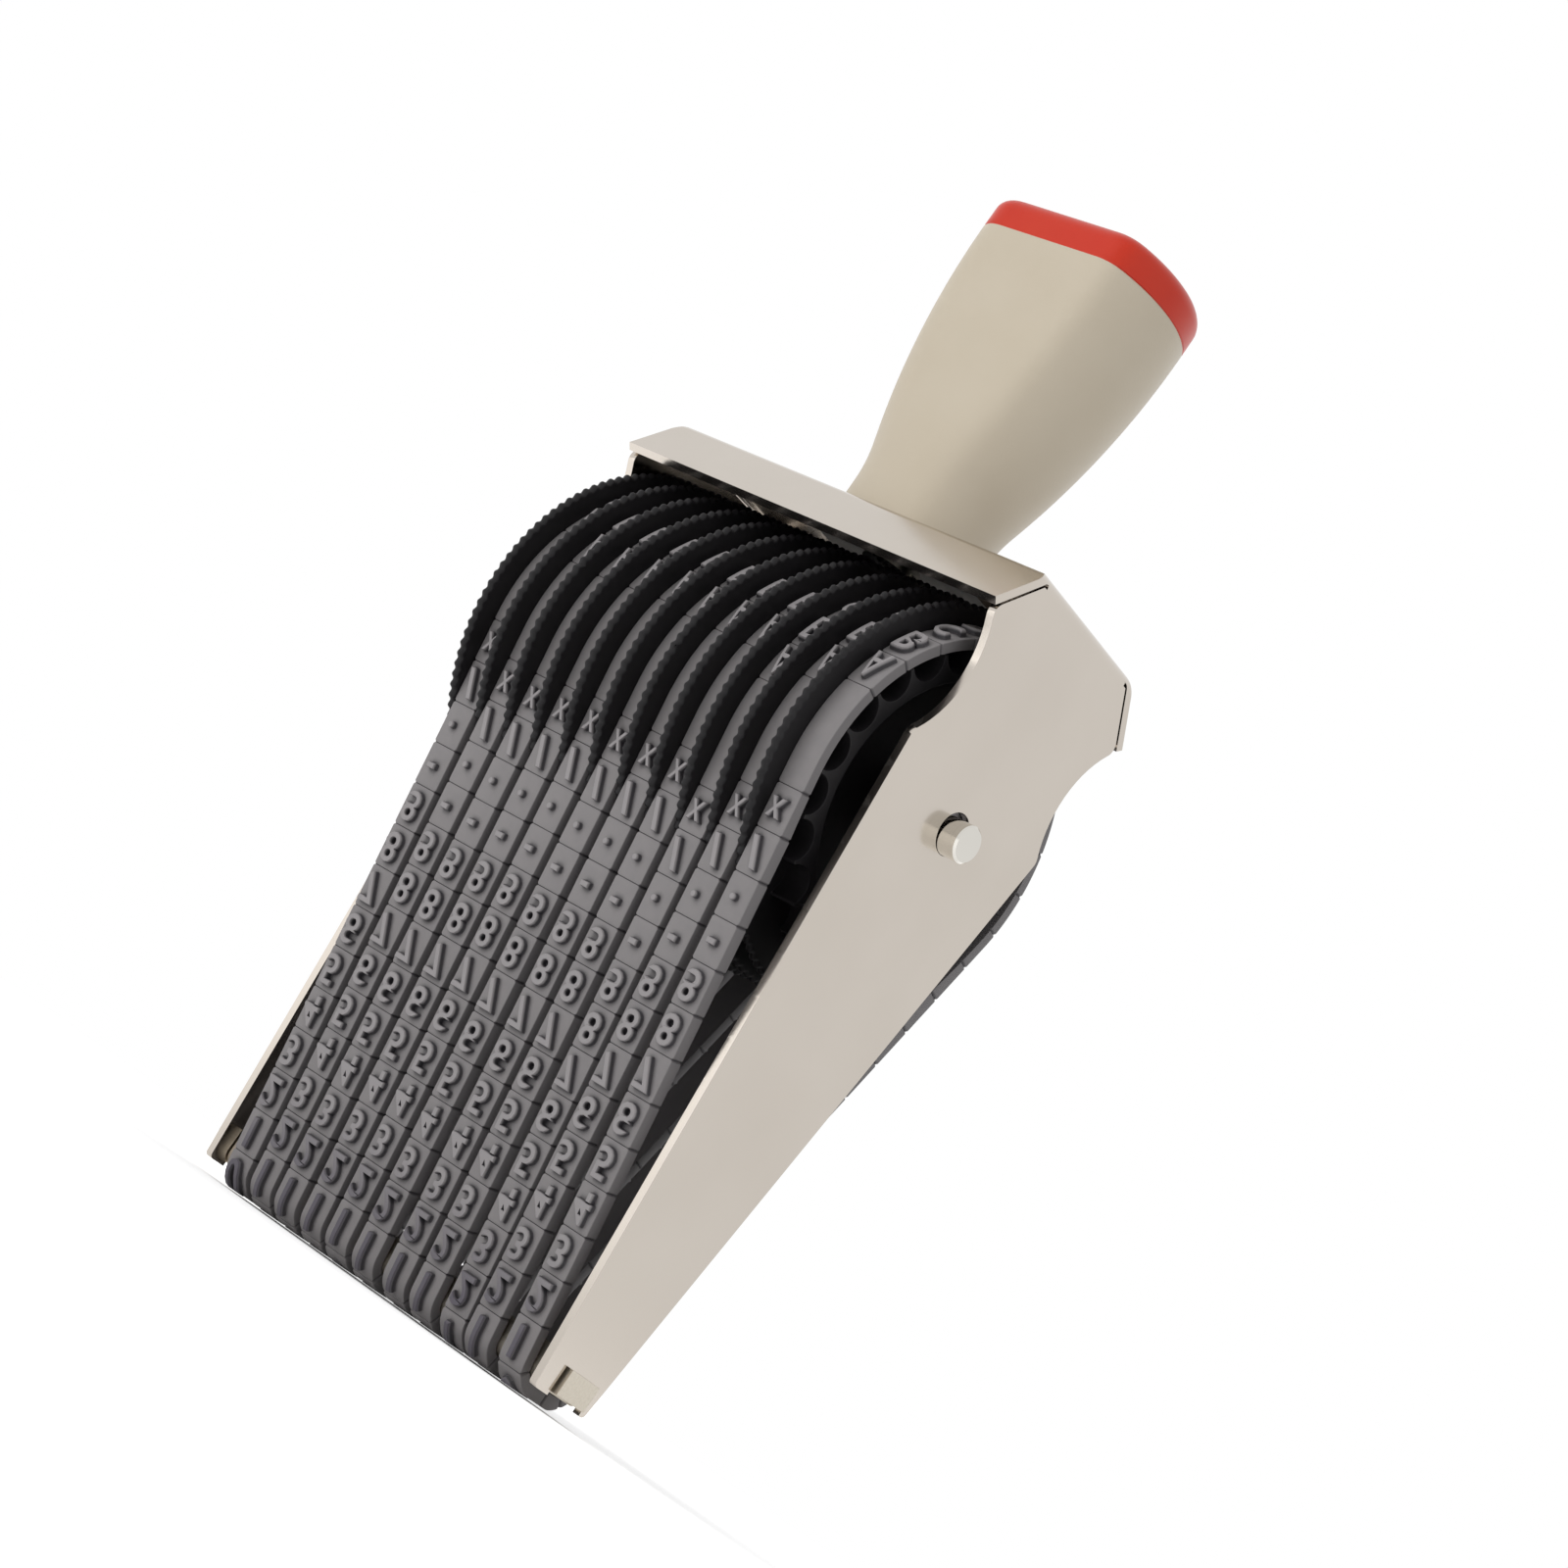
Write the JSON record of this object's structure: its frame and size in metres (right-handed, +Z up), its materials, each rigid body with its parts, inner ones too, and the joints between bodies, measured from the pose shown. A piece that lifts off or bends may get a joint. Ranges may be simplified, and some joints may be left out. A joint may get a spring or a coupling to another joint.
{
  "type": "roller stamp",
  "caption": "Band numbering stamp: endless rubber type bands on thumb wheels in a plated sheet frame, run over a platen bar, with a flat-sided handle and a coloured cap.",
  "frame": {"origin": "middle of the printing face, where the type stands on the paper", "axes": "+X along the axle to the right, +Y from front to back, +Z up to the handle's cap"},
  "size_m": [0.0654, 0.0492, 0.1466],
  "materials": {
    "nickel_sheet": "polished nickel plate on sheet steel",
    "steel_pin": "polished turned steel",
    "spring_steel": "dark oiled spring steel",
    "zinc_bar": "satin drawn bar",
    "black_plastic": "moulded black, slight sheen",
    "grey_rubber": "matt grey stamp rubber",
    "cream_plastic": "satin moulded cream",
    "red_plastic": "smooth moulded red"
  },
  "bodies": {
    "stamp": {"frame": "nickel_sheet", "axle": "steel_pin", "clip_left": "spring_steel", "clip_right": "spring_steel", "axle_sleeve": "steel_pin", "platen": "zinc_bar", "band_01": "grey_rubber", "band_02": "grey_rubber", "band_03": "grey_rubber", "band_04": "grey_rubber", "band_05": "grey_rubber", "band_06": "grey_rubber", "band_07": "grey_rubber", "band_08": "grey_rubber", "band_09": "grey_rubber", "band_10": "grey_rubber", "band_11": "grey_rubber", "handle_body": "cream_plastic", "handle_cap": "red_plastic", "handle_plate": "nickel_sheet", "handle_screw": "steel_pin"},
    "wheel_01": {"wheel_01": "black_plastic"},
    "wheel_02": {"wheel_02": "black_plastic"},
    "wheel_03": {"wheel_03": "black_plastic"},
    "wheel_04": {"wheel_04": "black_plastic"},
    "wheel_05": {"wheel_05": "black_plastic"},
    "wheel_06": {"wheel_06": "black_plastic"},
    "wheel_07": {"wheel_07": "black_plastic"},
    "wheel_08": {"wheel_08": "black_plastic"},
    "wheel_09": {"wheel_09": "black_plastic"},
    "wheel_10": {"wheel_10": "black_plastic"},
    "wheel_11": {"wheel_11": "black_plastic"}
  },
  "joints": [
    {"name": "wheel_01_turn", "type": "hinge", "parent": "stamp", "child": "wheel_01", "pos_m": [0, 0, 0.0756], "axis": [1, 0, 0], "continuous": true},
    {"name": "wheel_02_turn", "type": "hinge", "parent": "stamp", "child": "wheel_02", "pos_m": [0, 0, 0.0756], "axis": [1, 0, 0], "continuous": true},
    {"name": "wheel_03_turn", "type": "hinge", "parent": "stamp", "child": "wheel_03", "pos_m": [0, 0, 0.0756], "axis": [1, 0, 0], "continuous": true},
    {"name": "wheel_04_turn", "type": "hinge", "parent": "stamp", "child": "wheel_04", "pos_m": [0, 0, 0.0756], "axis": [1, 0, 0], "continuous": true},
    {"name": "wheel_05_turn", "type": "hinge", "parent": "stamp", "child": "wheel_05", "pos_m": [0, 0, 0.0756], "axis": [1, 0, 0], "continuous": true},
    {"name": "wheel_06_turn", "type": "hinge", "parent": "stamp", "child": "wheel_06", "pos_m": [0, 0, 0.0756], "axis": [1, 0, 0], "continuous": true},
    {"name": "wheel_07_turn", "type": "hinge", "parent": "stamp", "child": "wheel_07", "pos_m": [0, 0, 0.0756], "axis": [1, 0, 0], "continuous": true},
    {"name": "wheel_08_turn", "type": "hinge", "parent": "stamp", "child": "wheel_08", "pos_m": [0, 0, 0.0756], "axis": [1, 0, 0], "continuous": true},
    {"name": "wheel_09_turn", "type": "hinge", "parent": "stamp", "child": "wheel_09", "pos_m": [0, 0, 0.0756], "axis": [1, 0, 0], "continuous": true},
    {"name": "wheel_10_turn", "type": "hinge", "parent": "stamp", "child": "wheel_10", "pos_m": [0, 0, 0.0756], "axis": [1, 0, 0], "continuous": true},
    {"name": "wheel_11_turn", "type": "hinge", "parent": "stamp", "child": "wheel_11", "pos_m": [0, 0, 0.0756], "axis": [1, 0, 0], "continuous": true}
  ]
}
